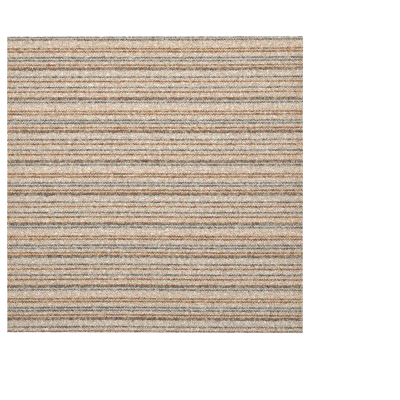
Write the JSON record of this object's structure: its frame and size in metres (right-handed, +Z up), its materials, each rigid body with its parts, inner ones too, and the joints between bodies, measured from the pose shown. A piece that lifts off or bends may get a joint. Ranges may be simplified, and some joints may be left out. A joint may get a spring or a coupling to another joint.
{
  "type": "carpet tile",
  "caption": "Square loop-pile carpet tile with zigzag-stitched stripes in cream, rust and slate on a heavy black backing, for loose-laid or glued floors.",
  "frame": {"origin": "middle of the underside, on the floor", "axes": "+Z up, towards the pile; +X along the tufted rows and stripes; +Y across them, towards the edge that is at the top of the picture"},
  "size_m": [0.5, 0.5, 0.0055],
  "materials": {
    "pile_yarn": "matte",
    "backing": "matte"
  },
  "bodies": {
    "root": {"loop_pile": "pile_yarn", "backing": "backing"}
  },
  "joints": []
}
